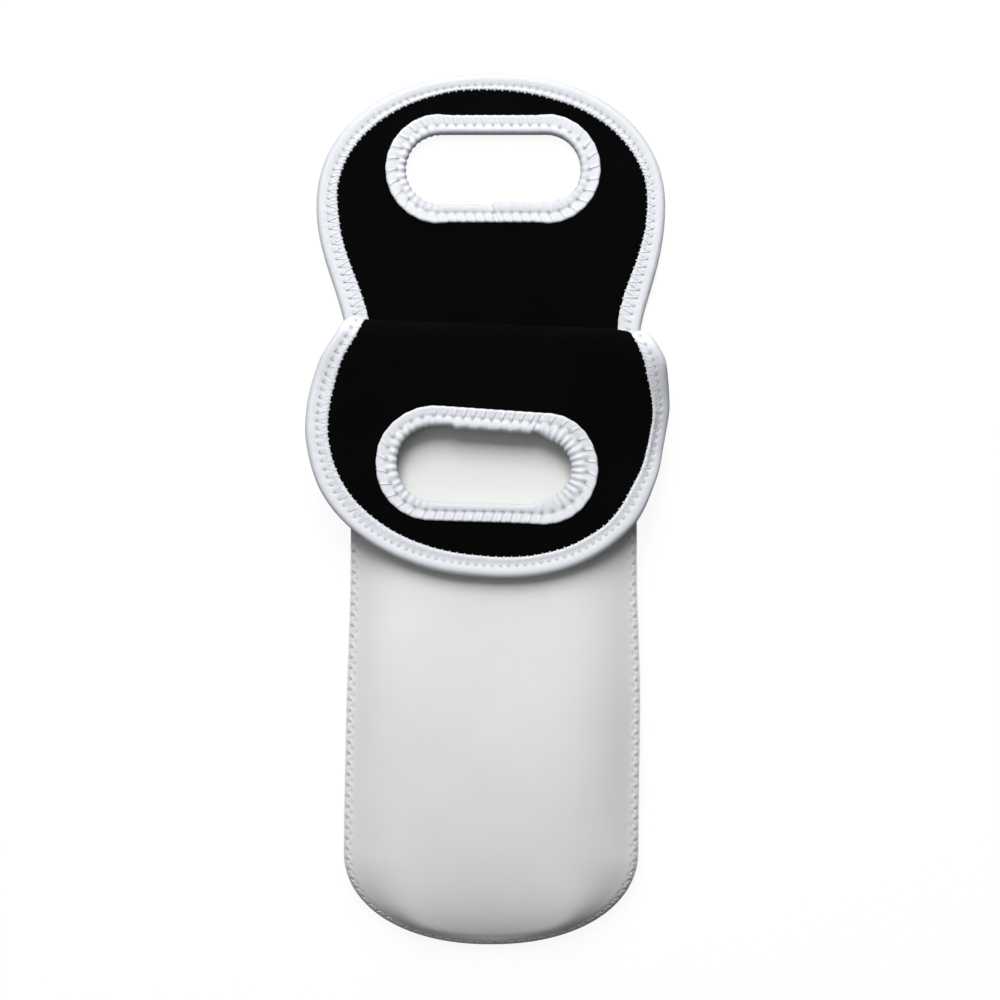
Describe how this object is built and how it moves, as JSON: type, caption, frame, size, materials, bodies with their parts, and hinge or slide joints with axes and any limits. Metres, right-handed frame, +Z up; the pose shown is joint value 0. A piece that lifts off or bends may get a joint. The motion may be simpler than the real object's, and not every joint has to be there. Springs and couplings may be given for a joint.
{
  "type": "bottle carrier",
  "caption": "Soft sheet carrier for one bottle: a rounded flat pouch whose two panels run on into handle heads with oval grip holes and taped edges; the front head is folded over the pouch.",
  "frame": {"origin": "middle of the carrier's length and width, on the surface that it lies on", "axes": "+Y from the pouch bottom towards the handle heads, +Z up out of the front panel as the carrier lies on its back, +X to the right"},
  "size_m": [0.1585, 0.3876, 0.0272],
  "materials": {
    "white_knit": "smooth fine white knit laminated on foam",
    "foam_core": "fine closed-cell black foam rubber",
    "black_lining": "matt black knit",
    "binding_tape": "white woven stretch tape",
    "thread": "white sewing thread"
  },
  "bodies": {
    "pouch": {"front_knit_face": "white_knit", "front_foam": "foam_core", "front_lining": "black_lining", "back_knit_face": "white_knit", "back_foam": "foam_core", "back_lining": "black_lining", "side_seam_thread": "thread", "front_binding_ends": "binding_tape", "back_binding_ends": "binding_tape"},
    "front_fold": {"front_fold_knit_face": "white_knit", "front_fold_foam": "foam_core", "front_fold_lining": "black_lining", "front_fold_binding": "binding_tape"},
    "front_handle": {"front_handle_knit_face": "white_knit", "front_handle_foam": "foam_core", "front_handle_lining": "black_lining", "front_handle_binding": "binding_tape", "front_grip_binding": "binding_tape", "front_handle_thread": "thread", "front_grip_thread": "thread"},
    "back_fold": {"back_fold_knit_face": "white_knit", "back_fold_foam": "foam_core", "back_fold_lining": "black_lining", "back_fold_binding": "binding_tape"},
    "back_handle": {"back_handle_knit_face": "white_knit", "back_handle_foam": "foam_core", "back_handle_lining": "black_lining", "back_handle_binding": "binding_tape", "back_grip_binding": "binding_tape", "back_handle_thread": "thread", "back_grip_thread": "thread"}
  },
  "joints": [
    {"name": "front_fold_lower", "type": "hinge", "parent": "pouch", "child": "front_fold", "pos_m": [0.00016, 0.07731, 0.01369], "axis": [-0.9994, 0.0349, 0], "range_deg": [0, 90]},
    {"name": "front_fold_upper", "type": "hinge", "parent": "front_fold", "child": "front_handle", "pos_m": [0.00016, 0.07731, 0.02311], "axis": [-0.9994, 0.0349, 0], "range_deg": [0, 90]},
    {"name": "back_fold_lower", "type": "hinge", "parent": "pouch", "child": "back_fold", "pos_m": [0, 0.07731, 0.00111], "axis": [-1, 0, 0], "range_deg": [0, 90]},
    {"name": "back_fold_upper", "type": "hinge", "parent": "back_fold", "child": "back_handle", "pos_m": [0, 0.08674, 0.00111], "axis": [-1, 0, 0], "range_deg": [0, 90]}
  ],
  "couplings": [
    {"joint": "front_fold_upper", "follows": "front_fold_lower", "ratio": 1},
    {"joint": "back_fold_upper", "follows": "back_fold_lower", "ratio": 1}
  ]
}
